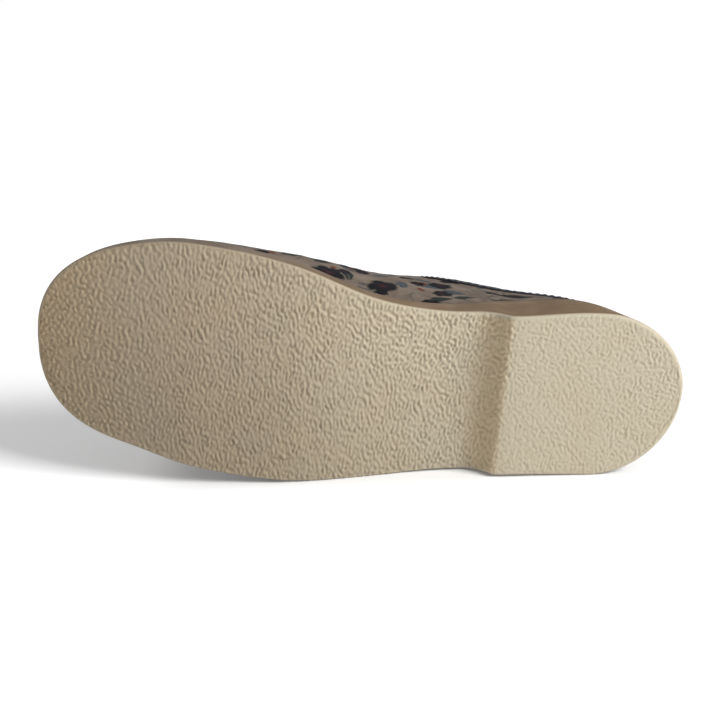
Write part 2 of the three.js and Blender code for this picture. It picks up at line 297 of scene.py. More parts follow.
def cosineSpaced(low, high, count):
    t = (1 - np.cos(np.pi * np.arange(count + 1) / count)) / 2
    return low + (high - low) * t


def gridFaces(rows, columns, closed=False, first=0):
    faces = []
    wide = columns if closed else columns - 1
    for i in range(rows - 1):
        for j in range(wide):
            a, b = first + i * columns + j, first + i * columns + (j + 1) % columns
            faces.append((a, b, b + columns, a + columns))
    return faces


def newPiece(name, points, faces, materials, indices=None, uv=None, levels=None):
    mesh = bpy.data.meshes.new(name)
    placed = toRow(points)
    placed[:, 2] = np.maximum(placed[:, 2], floorClear)
    mesh.from_pydata(placed.tolist(), [], faces)
    for material in materials:
        mesh.materials.append(material)
    if indices is not None:
        mesh.polygons.foreach_set("material_index", np.asarray(indices, np.int32))
    mesh.polygons.foreach_set("use_smooth", np.ones(len(faces), bool))
    if uv is not None:
        loops = np.empty(len(mesh.loops), np.int32)
        mesh.loops.foreach_get("vertex_index", loops)
        layer = mesh.uv_layers.new(name="fabricMm")
        layer.data.foreach_set("uv", (np.asarray(uv)[loops] / uvTile).ravel())
    for key, values in (levels or {}).items():
        layer = mesh.attributes.new(key, "FLOAT", "POINT")
        layer.data.foreach_set("value", np.asarray(values, np.float32).ravel())
    work = bmesh.new()
    work.from_mesh(mesh)
    bmesh.ops.remove_doubles(work, verts=work.verts, dist=weldWithin)
    bmesh.ops.recalc_face_normals(work, faces=work.faces)
    work.to_mesh(mesh)
    work.free()
    mesh.update()
    piece = bpy.data.objects.new(name, mesh)
    bpy.context.scene.collection.objects.link(piece)
    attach(piece, "root")
    triangles = sum(len(face.vertices) - 2 for face in mesh.polygons)
    print("made", name, triangles, "triangles")
    return piece


# Random relief of one wave length in millimetres, steeper as its spread is smaller,
# stretched across its turn, that is sampled at places in millimetres
def bandNoise(seed, wave, spread, stretch=1.0, turn=0.0, step=0.3, size=(300, 130)):
    rng = np.random.default_rng(seed)
    shape = (int(size[0] / step), int(size[1] / step))
    fx = np.fft.fftfreq(shape[0], step)[:, None]
    fy = np.fft.fftfreq(shape[1], step)[None, :]
    c, s = math.cos(turn), math.sin(turn)
    f = np.hypot(fx * c + fy * s, (fy * c - fx * s) * stretch)
    gain = np.exp(-(((f * wave) - 1) ** 2) / (2 * spread**2))
    field = np.real(np.fft.ifft2(np.fft.fft2(rng.standard_normal(shape)) * gain))
    field = field / field.std()

    def sample(x, y):
        u, v = np.mod(x / step, shape[0]), np.mod(y / step, shape[1])
        i, j = u.astype(int) % shape[0], v.astype(int) % shape[1]
        a, b = u - np.floor(u), v - np.floor(v)
        ii, jj = (i + 1) % shape[0], (j + 1) % shape[1]
        top = field[i, j] * (1 - b) + field[i, jj] * b
        low = field[ii, j] * (1 - b) + field[ii, jj] * b
        return top * (1 - a) + low * a

    return sample


# Material making

class Nodes:
    def __init__(self, name):
        self.material = bpy.data.materials.new(name)
        self.material.use_nodes = True
        self.tree = self.material.node_tree
        self.shader = self.tree.nodes["Principled BSDF"]

    def add(self, kind, settings=None, **inputs):
        node = self.tree.nodes.new(kind)
        for key, value in (settings or {}).items():
            setattr(node, key, value)
        for key, value in inputs.items():
            numbered = key[0] == "i" and key[1:].isdigit()
            self.set(node.inputs[int(key[1:]) if numbered else key], value)
        return node

    def set(self, socket, value):
        if isinstance(value, bpy.types.NodeSocket):
            self.tree.links.new(value, socket)
        else:
            socket.default_value = value

    def math(self, operation, a, b=0.0):
        return self.add("ShaderNodeMath", {"operation": operation}, i0=a, i1=b).outputs[0]

    def vector(self, operation, a, b=(0, 0, 0)):
        return self.add("ShaderNodeVectorMath", {"operation": operation}, i0=a, i1=b).outputs[0]

    def length(self, vector):
        node = self.add("ShaderNodeVectorMath", {"operation": "LENGTH"}, i0=vector)
        return node.outputs["Value"]

    def split(self, vector):
        return self.add("ShaderNodeSeparateXYZ", i0=vector).outputs

    def ramp(self, value, low, high, start=0.0, end=1.0):
        settings = {"interpolation_type": "SMOOTHSTEP"}
        node = self.add("ShaderNodeMapRange", settings, i0=value, i1=low, i2=high, i3=start, i4=end)
        return node.outputs[0]

    def noise(self, vector, scale, detail=2.0, roughness=0.5):
        sockets = {"Vector": vector, "Scale": scale, "Detail": detail, "Roughness": roughness}
        return self.add("ShaderNodeTexNoise", **sockets).outputs["Fac"]

    def mix(self, share, a, b, blend="MIX"):
        node = self.add("ShaderNodeMix", {"data_type": "RGBA", "blend_type": blend})
        self.set(node.inputs[0], share)
        self.set(node.inputs[6], a)
        self.set(node.inputs[7], b)
        return node.outputs[2]

    def bump(self, height, strength, distance):
        node = self.add("ShaderNodeBump", Height=height, Strength=strength, Distance=distance)
        return node.outputs[0]

    def finish(self, colour, roughness, normal=None, **sockets):
        self.set(self.shader.inputs["Base Color"], colour)
        self.set(self.shader.inputs["Roughness"], roughness)
        if normal is not None:
            self.set(self.shader.inputs["Normal"], normal)
        for key, value in sockets.items():
            self.shader.inputs[key.replace("_", " ")].default_value = value
        return self.material


def rgb(red, green, blue):
    def linear(c):
        c = c / 255
        return c / 12.92 if c <= 0.04045 else ((c + 0.055) / 1.055) ** 2.4
    return (linear(red), linear(green), linear(blue), 1)


def uvMm(nodes):
    uv = nodes.add("ShaderNodeUVMap", {"uv_map": "fabricMm"}).outputs[0]
    return nodes.vector("MULTIPLY", uv, (uvTile, uvTile, 0))


# Outsole: crinkled foam rubber tread, smooth tan wall

sole = {
    "stations": 620,
    "across": 130,
    "wallSteps": 5,
    "topSteps": 5,
    "roundSteps": 5,
    "endsCloser": 0.18,  # share of the stations that crowd to both ends
    "relief": 0.33,
    "heelRelief": 0.56,  # both as shares of the relief
    "toeRelief": 0.9,
    "forefoot": {"seed": 11, "wave": 1.58, "spread": 0.36, "stretch": 1.75, "turn": math.radians(15)},
    "heel": {"seed": 12, "wave": 1.9, "spread": 0.5, "stretch": 1.25},
    "toe": {"seed": 13, "wave": 2.4, "spread": 0.4, "stretch": 1.15, "turn": math.radians(20)},
    "patches": {"seed": 14, "wave": 9, "spread": 0.5},
    "patchy": 0.16,
    "worn": 0.4,  # the heel's crinkles are worn flat above this
    "wornDown": 0.1,
    "steep": 1.1,
    "middle": 60,
    "heelEnds": (68, 74),
    "toeStarts": (190, 240),
    "rimFade": 1.2,
    "faint": 0.5,  # the patches weaken or strengthen a crinkle no further than this
    "topAt": 200,  # where the hidden top lies on the UV map
    "topWide": 80,
    "cream": rgb(181, 172, 151),
    "ballShadedCream": rgb(147, 134, 114),
    "toeShadedCream": rgb(154, 140, 117),
    "outerShade": rgb(246, 245, 243),
    "innerShade": rgb(267, 267, 268),
    "breastBounceLight": rgb(271, 261, 249),
    "grooveShadeAndFleck": rgb(140, 128, 104),
    "ochre": rgb(168, 140, 104),
    "wall": rgb(113, 92, 69),
    "wallDark": rgb(102, 83, 61),
    "toeWallShade": rgb(216, 222, 232),
}


def soleTintAndShade(n, x, y=0.0):
    # painted shade: the tread's cream darkens from the heel towards the ball and toe
    colour = n.mix(n.ramp(x, 40.0, 215.0), sole["cream"], sole["ballShadedCream"])
    colour = n.mix(n.ramp(x, 212.0, 255.0), colour, sole["toeShadedCream"])
    # painted light and shade: from the waist to the toe the outer side of the tread is darker and the
    # inner side lighter
    shade = n.mix(n.ramp(y, -50.0, 50.0), sole["outerShade"], sole["innerShade"])
    return n.mix(n.ramp(x, 75.0, 105.0), colour, n.mix(1.0, colour, shade, "MULTIPLY"))


def treadMaterial():
    n = Nodes("crinkledFoamRubber")
    place = uvMm(n)
    crinkle = n.add("ShaderNodeAttribute", {"attribute_name": "crinkle"}).outputs["Fac"]
    blotch = n.noise(place, 0.035, 3, 0.6)
    grain = n.noise(place, 0.55, 4, 0.6)
    fine = n.noise(place, 1.6, 3, 0.6)
    x, y, _ = n.split(place)
    colour = soleTintAndShade(n, x, y)
    # painted light: a warm bounce light brightens the heel breast's shadow band
    breast = n.math("MULTIPLY", n.ramp(x, 70.0, 73.0), n.ramp(x, 89.0, 77.0))
    colour = n.mix(breast, colour, n.mix(1.0, colour, sole["breastBounceLight"], "MULTIPLY"))
    tipward = n.math("ADD", x, n.math("MULTIPLY", y, 0.25))
    colour = n.mix(n.ramp(tipward, 236.0, 270.0, 0.0, 0.35), colour, sole["ochre"])
    # painted shade: the crinkles' grooves are darker
    colour = n.mix(n.ramp(crinkle, 0.55, 0.05, 0.0, 0.3), colour, sole["grooveShadeAndFleck"])
    colour = n.mix(n.ramp(blotch, 0.35, 0.75, 0.0, 0.12), colour, sole["ochre"])
    # the same darker colour also flecks the tread at random
    colour = n.mix(n.ramp(fine, 0.5, 0.8, 0.0, 0.16), colour, sole["grooveShadeAndFleck"])
    relief = n.math("ADD", n.math("MULTIPLY", grain, 1.6), n.math("MULTIPLY", fine, 0.5))
    normal = n.bump(relief, 0.3, 0.0002)
    roughness = n.ramp(crinkle, 0.1, 0.9, 0.74, 0.6)
    return n.finish(colour, roughness, normal, Specular_IOR_Level=0.3, IOR=1.46)


def wallMaterial():
    n = Nodes("smoothTanWall")
    place = uvMm(n)
    x, up, _ = n.split(place)
    streak = n.noise(n.vector("MULTIPLY", place, (0.25, 1.0, 1.0)), 0.6, 3, 0.6)
    cloud = n.noise(place, 0.06, 2)
    colour = n.mix(n.ramp(cloud, 0.3, 0.7), sole["wall"], sole["wallDark"])
    colour = n.mix(n.ramp(streak, 0.5, 0.8, 0.0, 0.1), colour, sole["cream"])
    # painted shade: the wall darkens and cools towards the toe
    toeWallShaded = n.mix(1.0, colour, sole["toeWallShade"], "MULTIPLY")
    colour = n.mix(n.ramp(x, 110.0, 200.0), colour, toeWallShaded)
    colour = n.mix(n.ramp(up, 1.9, 0.2), colour, soleTintAndShade(n, x))
    relief = n.math("ADD", streak, n.math("MULTIPLY", n.noise(place, 1.5, 3), 0.5))
    normal = n.bump(relief, 0.15, 0.00015)
    return n.finish(colour, n.ramp(cloud, 0.3, 0.7, 0.66, 0.76), normal, Specular_IOR_Level=0.18)


def crinkleAt(x, y):
    forefoot, heel, toe, patches = (
        bandNoise(**sole[zone])(x, y + sole["middle"])
        for zone in ("forefoot", "heel", "toe", "patches")
    )
    heel = np.minimum(heel, sole["worn"]) - sole["wornDown"]
    toHeel = 1 - smooth(x, *sole["heelEnds"])
    toToe = smooth(x, *sole["toeStarts"])
    mixed = (forefoot * (1 - toToe) + toe * toToe) * (1 - toHeel)
    strength = 1 + (sole["toeRelief"] - 1) * toToe
    strength = strength * (1 - toHeel) + sole["heelRelief"] * toHeel
    height = np.tanh(sole["steep"] * (mixed + heel * toHeel))
    return height * strength * (1 + np.clip(sole["patchy"] * patches, -sole["faint"], sole["faint"]))


def makeOutsole():
    share = np.linspace(0, 1, sole["stations"] + 1)[:, None]
    ends = (1 - np.cos(np.pi * share)) / 2
    share = (1 - sole["endsCloser"]) * share + sole["endsCloser"] * ends
    low, high = groundHeight(share), featherHeight(share)
    length, edge = last["soleLength"], last["edgeRound"]
    lowX = share * length
    topX = last["heelRake"] + share * (length - last["heelRake"] - edge)
    grids, places = [], []

    def put(x, y, z, flatX, flatY):
        x, y, z, flatX, flatY = np.broadcast_arrays(x, y, z, flatX, flatY)
        grids.append(np.stack([x, y, z], -1))
        places.append(np.stack([flatX, flatY], -1))

    # tread, from the outer edge to the inner edge
    t = np.linspace(-1, 1, sole["across"] + 1)[None, :]
    inner, outer = (halfWidth(share, side, treadHeel, edge) for side in (1, -1))
    half = np.where(t > 0, inner, outer)
    y = half * t
    x = np.broadcast_to(edge + share * (length - 2 * edge), y.shape)
    rim = half * (1 - np.abs(t)) + np.minimum(x, length - x)
    crinkle = crinkleAt(x, y) * smooth(rim, edge, edge + sole["rimFade"])
    put(x, y, low - sole["relief"] * crinkle, x, y)
    # round ground edge and wall, up the inner side, over the top, down the outer side
    def wall(side):
        for turn in np.linspace(0, 1, sole["roundSteps"]) * math.pi / 2:
            inset, up = edge * (1 - math.sin(turn)), edge * (1 - math.cos(turn))
            x = inset + share * (length - 2 * inset)
            y = side * halfWidth(share, side, treadHeel, inset)
            rim = smooth(np.minimum(x, length - x), edge, edge + sole["rimFade"])
            fade = rim * math.cos(turn) ** 2
            yield x, y, low + up - sole["relief"] * crinkleAt(x, y) * fade, up
        for k in np.linspace(0, 1, sole["wallSteps"] + 1)[1:]:
            foot = halfWidth(share, side, treadHeel, 0)
            head = halfWidth(share, side, featherHeel, wallDrop(share, side))
            z = (low + edge) * (1 - k) + high * k
            yield lowX * (1 - k) + topX * k, side * (foot * (1 - k) + head * k), z, z - low
    for x, y, z, up in wall(1):
        put(x, y, z, x, up)
    inner = halfWidth(share, 1, featherHeel, wallDrop(share, 1))
    outer = halfWidth(share, -1, featherHeel, wallDrop(share, -1))
    for k in np.linspace(0, 1, sole["topSteps"] + 2):
        flatY = sole["topAt"] + sole["topWide"] * k
        put(topX, inner * (1 - k) - outer * k, high, topX, flatY)
    for x, y, z, up in list(wall(-1))[::-1]:
        put(x, y, z, x, up)
    points, flat = np.concatenate(grids, 1), np.concatenate(places, 1)
    columns = points.shape[1]
    faces = gridFaces(len(share), columns, closed=True)
    column = np.tile(np.arange(columns), len(share) - 1)
    level = np.full((len(share), columns), 0.5)
    level[:, : sole["across"] + 1] += 0.5 * np.clip(crinkle, -1, 1)
    piece = newPiece(
        "outsoleFoam", points.reshape(-1, 3), faces, [treadMaterial(), wallMaterial()],
        np.where(column < sole["across"], 0, 1), flat.reshape(-1, 2), {"crinkle": level},
    )
    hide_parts("outsole")


makeOutsole()


# Upper: printed felt outside, fleece inside

felt = {
    "collarStations": 130,
    "frontStations": 120,
    "upSteps": 44,
    "printed": 1.6,  # thickness of the printed layer; the fleece is the rest of the wall
    "backing": 0.5,  # share of the relief that shows on the layers behind
    "relaxed": {"seed": 21, "wave": 26, "spread": 0.5, "step": 1.0, "size": (340, 300)},
    "relaxedHigh": 0.24,
    "ripples": {"seed": 22, "wave": 9, "spread": 0.5, "step": 0.8, "size": (340, 300)},
    "ripplesHigh": 0.06,
    "gathers": {"seed": 23, "wave": 6.5, "spread": 0.3, "step": 0.8, "size": (340, 60)},
    "gathersHigh": 0.16,
    "curls": {"seed": 31, "wave": 3.2, "spread": 0.4, "step": 0.5, "size": (340, 300)},
    "curlsDeep": 0.16,
    "tuck": 0.5,
    "tuckUp": 1.6,
    "backSeam": 0.6,
    "seamWide": 1.1,
    "middle": 140,
    "gathersUp": (3, 7),  # middle and half width of their band over the sole
    "heelFades": (6, 24),  # the relief starts and ends between these places
    "toeFades": (244, 260),
    "calm": 0.8,  # share of the relief that is gone on the inner side, and where
    "calmAlong": (105, 145),
    "calmOut": (12, 36),
    "edgeHolds": (2, 12),
    "lipHigh": 0.4,  # the lips beside a crease, as shares of its depth and of its width
    "lipAway": 1.7,
    "ground": rgb(112, 100, 89),
    "heather": rgb(92, 81, 73),
    "pale": rgb(126, 114, 103),
    "wool": rgb(128, 117, 108),
    "twig": rgb(62, 62, 62),
    "green": rgb(28, 38, 36),
    "slate": rgb(58, 66, 72),
    "navy": rgb(8, 8, 13),
    "teal": rgb(10, 16, 19),
    "plum": rgb(30, 18, 26),
    "eye": rgb(56, 28, 27),
    "rust": rgb(88, 42, 26),
    "fleecePale": rgb(214, 203, 184),
    "fleeceDeep": rgb(168, 154, 132),
    # motifs of the print: cells to a millimetre, how far they stray, and sizes in millimetres
    "large": {"scale": 0.036, "random": 0.6, "shift": (14, 22, 0), "size": 8.2, "petals": 5,
              "notch": 0.24, "least": 0.08},
    "small": {"scale": 0.058, "random": 0.75, "shift": (57, 23, 0), "size": 4.6, "petals": 6,
              "notch": 0.22, "least": 0.3},
    "bud": {"scale": 0.07, "random": 0.9, "shift": (91, 43, 0), "size": 2.3, "petals": 3,
            "notch": 0.4, "least": 0.6},
    "leaf": {"scale": 0.07, "random": 0.6, "shift": (31, 7, 0), "long": 6.2, "wide": 2.8,
             "least": 0.15},
}
# Soft creases: place along the shoe and height over the sole in millimetres, side
# 1 inner, -1 outer or 0 both, depth, half length, half width and turn from level.
creases = [
    {"x": 172, "up": 50, "side": 0, "deep": 0.9, "long": 20, "wide": 5, "turn": 82},
    {"x": 158, "up": 54, "side": 0, "deep": 0.7, "long": 18, "wide": 5, "turn": 74},
    {"x": 187, "up": 46, "side": 0, "deep": 0.5, "long": 18, "wide": 4.5, "turn": 88},
    {"x": 176, "up": 22, "side": -1, "deep": 0.7, "long": 16, "wide": 5, "turn": 70},
    {"x": 92, "up": 38, "side": 1, "deep": 0.6, "long": 14, "wide": 6, "turn": -28},
    {"x": 66, "up": 30, "side": 1, "deep": 0.4, "long": 16, "wide": 5, "turn": 20},
    {"x": 84, "up": 30, "side": -1, "deep": 0.8, "long": 20, "wide": 6, "turn": -20},
    {"x": 34, "up": 24, "side": -1, "deep": 0.6, "long": 14, "wide": 5, "turn": 34},
    {"x": 28, "up": 28, "side": 1, "deep": 0.5, "long": 12, "wide": 5, "turn": -40},
]


def creaseDepth(x, up, side):
    depth = np.zeros(np.broadcast(x, up).shape)
    for c in creases:
        if c["side"] not in (0, side):
            continue
        turn = math.radians(c["turn"])
        dx, dz = x - c["x"], up - c["up"]
        run = dx * math.cos(turn) + dz * math.sin(turn)
        off = dz * math.cos(turn) - dx * math.sin(turn)
        depth -= c["deep"] * bell(run, 0, c["long"]) * bell(off, 0, c["wide"])
        lip = bell(run, 0, c["long"]) * bell(off, felt["lipAway"] * c["wide"], c["wide"])
        depth += felt["lipHigh"] * c["deep"] * lip
    return depth


# Both sides of one surface of the upper, each a grid from the sole up to the topline or
# the ridge, with the felt's own flat places: along it, and out from its middle line.
def upperSurface(inset, relief=None):
    tip, front = tipStation(inset), felt["collarStations"]
    shares = np.concatenate([
        cosineSpaced(0, tip, front)[:-1], cosineSpaced(tip, 1, felt["frontStations"]),
    ])
    share = shares[:, None]
    ridge = upperRidge(share, inset)
    square = along(upperRows, "square", share)
    bare, runs, sides = [], [], []
    for side in (1, -1):
        limit = collarLimit(shares, side, inset)[:, None]
        limit[front:] = ridge[front:]
        full = np.arcsin(np.clip(limit / np.maximum(ridge, 1e-9), 0, 1) ** (square / 2))
        turn = full * np.linspace(0, 1, felt["upSteps"] + 1)[None, :]
        height = ridge * np.sin(turn) ** (2 / square)
        height[front:, -1] = ridge[front:, 0]
        points = upperPoint(np.broadcast_to(share, height.shape), side, height, inset)
        gaps = np.linalg.norm(np.diff(points, axis=0), axis=-1)
        runs.append(np.concatenate([[0], gaps[:front, 0], gaps[front:].mean(1)]))
        bare.append((side, height, points))
    run = np.cumsum(np.mean(runs, 0))[:, None]
    for side, height, points in bare:
        up = np.linalg.norm(np.diff(points, axis=1), axis=-1)
        up = np.concatenate([np.zeros((len(points), 1)), np.cumsum(up, 1)], 1)
        girth = up[:, -1:].copy()
        girth[:front] = girth[front]
        flat = np.stack([run + 0 * up, side * (girth - up)], -1)
        if relief:
            shift = relief(points, flat, height, side)
            points = points + outwardNormals(points, side) * shift[..., None]
        sides.append((points, flat))
    # the two sides meet on the ridge and at both ends
    inner, outer = sides[0][0], sides[1][0]
    inner[front:, -1] = outer[front:, -1] = (inner[front:, -1] + outer[front:, -1]) / 2
    for end in (0, -1):
        middle = (inner[end] + outer[end]) / 2
        middle[:, 1] = 0
        inner[end] = outer[end] = middle
    return sides


def shellPiece(name, outer, inner, materials):
    points, uvs, faces, indices, firsts = [], [], [], [], []
    rows, columns = outer[0][0].shape[:2]
    for layer, sides in enumerate((outer, inner)):
        for grid, flat in sides:
            firsts.append(sum(len(p) for p in points))
            points.append(grid.reshape(-1, 3))
            uvs.append(flat.reshape(-1, 2))
            new = gridFaces(rows, columns, first=firsts[-1])
            faces += new
            indices += [layer] * len(new)
    for s in (0, 1):
        a, b = firsts[s], firsts[2 + s]
        for i in range(rows - 1):
            p, q = a + i * columns, a + (i + 1) * columns
            u, v = b + i * columns, b + (i + 1) * columns
            faces.append((p, q, v, u))
            indices.append(0)
            if i < felt["collarStations"]:
                e = columns - 1
                faces.append((u + e, v + e, q + e, p + e))
                indices.append(0)
    piece = newPiece(
        name, np.concatenate(points), faces, materials, indices, np.concatenate(uvs)
    )
    return piece


def feltMaterial():
    n = Nodes("printedFelt")
    place = uvMm(n)
    # the ink has bled a little along the wool, so all the motifs' edges wander
    bleed = n.add("ShaderNodeTexNoise", Vector=place, Scale=0.3, Detail=2.0).outputs["Color"]
    bend = n.add("ShaderNodeTexNoise", Vector=place, Scale=0.13, Detail=1.0).outputs["Color"]
    ink = place
    for noise, reach in ((bleed, 1.6), (bend, 4.5)):
        shift = n.vector("SUBTRACT", noise, (0.5, 0.5, 0.5))
        ink = n.vector("ADD", ink, n.vector("MULTIPLY", shift, (reach, reach, 0)))
    heather = n.noise(n.vector("MULTIPLY", place, (1.0, 2.2, 1.0)), 1.8, 4, 0.7)
    cloud = n.noise(place, 0.09, 2)
    colour = n.mix(n.ramp(heather, 0.35, 0.7), felt["heather"], felt["ground"])
    colour = n.mix(n.ramp(cloud, 0.4, 0.62, 0.0, 0.5), colour, felt["pale"])

    def scattered(scale, random, shift):
        moved = n.vector("ADD", ink, shift)
        cell = n.add("ShaderNodeTexVoronoi", {"voronoi_dimensions": "2D"}, Vector=moved)
        cell.inputs["Scale"].default_value = scale
        cell.inputs["Randomness"].default_value = random
        middle = n.vector("MULTIPLY", cell.outputs["Position"], (1, 1, 0))
        dx, dy, _ = n.split(n.vector("SUBTRACT", moved, middle))
        return dx, dy, n.split(cell.outputs["Color"])

    def shown(mask, chance, least):
        return n.math("MULTIPLY", mask, n.ramp(chance, least, least + 0.02))

    # round petals about a middle; the second value runs from 0 there to 1 at their ends
    def blossom(spec):
        dx, dy, chance = scattered(spec["scale"], spec["random"], spec["shift"])
        squares = n.math("ADD", n.math("MULTIPLY", dx, dx), n.math("MULTIPLY", dy, dy))
        far = n.math("SQRT", squares)
        spin = n.math("MULTIPLY", chance[0], 3.0)
        turn = n.math("MULTIPLY", n.math("ARCTAN2", dy, dx), spec["petals"] / 2)
        lobe = n.math("ABSOLUTE", n.math("COSINE", n.math("ADD", turn, spin)))
        notch = n.math("MULTIPLY", n.math("POWER", lobe, 0.6), spec["size"] * spec["notch"])
        reach = n.math("ADD", spec["size"] * (1 - spec["notch"]), notch)
        reach = n.math("MULTIPLY", reach, n.ramp(chance[1], 0.0, 1.0, 0.75, 1.1))
        part = n.math("DIVIDE", far, reach)
        return shown(n.ramp(part, 1.15, 0.78), chance[2], spec["least"]), part, chance

    def leaf(spec):
        dx, dy, chance = scattered(spec["scale"], spec["random"], spec["shift"])
        turn = n.math("MULTIPLY", chance[0], 2 * math.pi)
        c, s = n.math("COSINE", turn), n.math("SINE", turn)
        a = n.math("ADD", n.math("MULTIPLY", dx, c), n.math("MULTIPLY", dy, s))
        b = n.math("SUBTRACT", n.math("MULTIPLY", dy, c), n.math("MULTIPLY", dx, s))
        a, b = n.math("DIVIDE", a, spec["long"]), n.math("DIVIDE", b, spec["wide"])
        lens = n.math("ADD", n.math("MULTIPLY", a, a), n.math("ABSOLUTE", b))
        vein = n.ramp(n.math("ABSOLUTE", b), 0.02, 0.2, 0.55, 1.0)
        mask = n.math("MULTIPLY", n.ramp(lens, 1.2, 0.7), vein)
        return shown(mask, chance[1], spec["least"]), chance[2]

    # thin twigs
    line = n.math("ABSOLUTE", n.math("SUBTRACT", n.noise(ink, 0.05, 1.5), 0.5))
    colour = n.mix(n.ramp(line, 0.012, 0.004, 0.0, 0.7), colour, felt["twig"])
    mask, chance = leaf(felt["leaf"])
    tint = n.mix(n.ramp(chance, 0.45, 0.55), felt["green"], felt["slate"])
    colour = n.mix(mask, colour, tint)
    for name in ("bud", "small", "large"):
        mask, part, chance = blossom(felt[name])
        outer = n.mix(n.ramp(chance[0], 0.45, 0.55), felt["navy"], felt["teal"])
        tint = n.mix(n.ramp(part, 0.8, 0.2), outer, felt["plum"])
        tint = n.mix(n.ramp(part, 0.26, 0.1, 0.0, 0.7), tint, felt["eye"])
        colour = n.mix(mask, colour, felt["rust"] if name == "bud" else tint)
    # loose wool lies over everything
    fibre = n.noise(n.vector("MULTIPLY", place, (1.0, 3.2, 1.0)), 3.2, 3, 0.7)
    colour = n.mix(n.ramp(fibre, 0.52, 0.8, 0.0, 0.14), colour, felt["wool"])
    nap = n.math("ADD", n.noise(place, 1.3, 4, 0.7), n.math("MULTIPLY", fibre, 0.5))
    normal = n.bump(nap, 0.6, 0.0003)
    return n.finish(
        colour, 1.0, normal, Specular_IOR_Level=0.05, Sheen_Weight=0.02, Sheen_Roughness=0.5,
    )


def fleeceMaterial(name, pale, deep):
    n = Nodes(name)
    place = uvMm(n)
    curl = n.noise(place, 0.55, 4, 0.7)
    fine = n.noise(place, 2.4, 3, 0.7)
    cloud = n.noise(place, 0.06, 2)
    colour = n.mix(n.ramp(curl, 0.35, 0.65), deep, pale)
    colour = n.mix(n.ramp(cloud, 0.4, 0.7, 0.0, 0.3), colour, deep)
    nap = n.math("ADD", curl, n.math("MULTIPLY", fine, 0.5))
    normal = n.bump(nap, 0.7, 0.0006)
    return n.finish(
        colour, 0.96, normal, Specular_IOR_Level=0.12, Sheen_Weight=0.35, Sheen_Roughness=0.6,
    )


def feltRelief(points, flat, height, side):
    x, run, off = points[..., 0], flat[..., 0], flat[..., 1] + felt["middle"]
    ends = smooth(x, *felt["heelFades"]) * (1 - smooth(x, *felt["toeFades"]))
    relief = creaseDepth(x, height, side)
    relief = relief + felt["relaxedHigh"] * bandNoise(**felt["relaxed"])(run, off) * ends
    # the inner side is stretched smooth from the waist to the toes
    calm = smooth(x, *felt["calmAlong"]) * smooth(flat[..., 1], *felt["calmOut"])
    relief = relief * (1 - felt["calm"] * calm)
    relief = relief + felt["ripplesHigh"] * bandNoise(**felt["ripples"])(run, off) * ends
    # the bound edge holds the felt smooth
    relief = relief * smooth(toplineHeight(x) - points[..., 2], *felt["edgeHolds"])
    # gathered and drawn in where it is joined to the sole
    gathers = bandNoise(**felt["gathers"])(run, np.full(run.shape, 30.0))
    relief = relief + felt["gathersHigh"] * gathers * bell(height, *felt["gathersUp"]) * ends
    relief = relief - felt["tuck"] * bell(height, 0, felt["tuckUp"]) * ends
    # closed seam down the middle of the back
    return relief - felt["backSeam"] * bell(run, 0, felt["seamWide"])


def backingRelief(points, flat, height, side):
    return feltRelief(points, flat, height, side) * felt["backing"]


def fleeceRelief(points, flat, height, side):
    curls = bandNoise(**felt["curls"])(flat[..., 0], flat[..., 1] + felt["middle"])
    return backingRelief(points, flat, height, side) - felt["curlsDeep"] * np.abs(curls)


feltPrint = feltMaterial()
fleece = fleeceMaterial("woolFleece", felt["fleecePale"], felt["fleeceDeep"])
upper = shellPiece(
    "feltUpper", upperSurface(0, feltRelief), upperSurface(felt["printed"], backingRelief),
    [feltPrint, fleece],
)
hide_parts("upper")
shellPiece(
    "fleeceLining", upperSurface(felt["printed"] + 0.1, backingRelief),
    upperSurface(last["wall"], fleeceRelief), [fleece, fleece],
)


# Binding: folded tape round the cut edge, with a row of stitches on each face

binding = {
    "roll": 2.15,
    "centre": 1.35,
    "skirt": 4.2,
    "tape": 0.75,
    "stitchLong": 2.3,
    "stitchEvery": 3.3,
    "stitchThick": 0.42,
    "stitchUp": 1.3,  # from the tape's lower edge
    "places": 360,  # round the topline
    "turn": 15,  # round the tape's fold
    "squash": 1.02,  # the fold is this much wider than round
    "foldFrom": 0.12,  # radians from level
    "edgeSoft": 6,  # times that the topline and its normals are smoothed
    "normalSoft": 24,
    "ripple": {"seed": 41, "wave": 7, "spread": 0.5, "step": 0.7},
    "rippleHigh": 0.035,
    "navy": rgb(22, 23, 31),
    "navyPale": rgb(38, 40, 51),
    "worn": rgb(58, 60, 71),
    "thread": rgb(52, 54, 66),
}


def toplineLoop():
    middle = upperSurface(last["wall"] / 2)
    n = felt["collarStations"]
    inner, outer = middle[0][0][: n + 1, -1], middle[1][0][: n + 1, -1]
    points = np.concatenate([inner, outer[1:-1][::-1]])
    sides = np.concatenate([np.ones(n + 1), -np.ones(n - 1)])
    # evenly spaced round the loop
    closed = np.concatenate([points, points[:1]])
    run = np.concatenate([[0], np.cumsum(np.linalg.norm(np.diff(closed, axis=0), axis=1))])
    even = np.linspace(0, run[-1], binding["places"], endpoint=False)
    points = np.stack([np.interp(even, run, closed[:, k]) for k in range(3)], 1)
    isInner = np.interp(even, run, np.concatenate([sides, sides[:1]])) > 0
    normals = np.where(isInner[:, None], outwardNormals(points, 1), outwardNormals(points, -1))

    def blur(values, times):
        for _ in range(times):
            values = (np.roll(values, 1, 0) + 2 * values + np.roll(values, -1, 0)) / 4
        return values

    points, normals = blur(points, binding["edgeSoft"]), blur(normals, binding["normalSoft"])
    tangents = np.roll(points, -1, 0) - np.roll(points, 1, 0)
    tangents /= np.linalg.norm(tangents, axis=1, keepdims=True)
    normals -= (normals * tangents).sum(1, keepdims=True) * tangents
    normals /= np.linalg.norm(normals, axis=1, keepdims=True)
    down = np.cross(tangents, normals)
    down *= -np.sign(down[0, 2])
    return points, normals, down, run[-1]


edge, outwards, downs, edgeLength = toplineLoop()
print("topline is", round(edgeLength), "mm round")


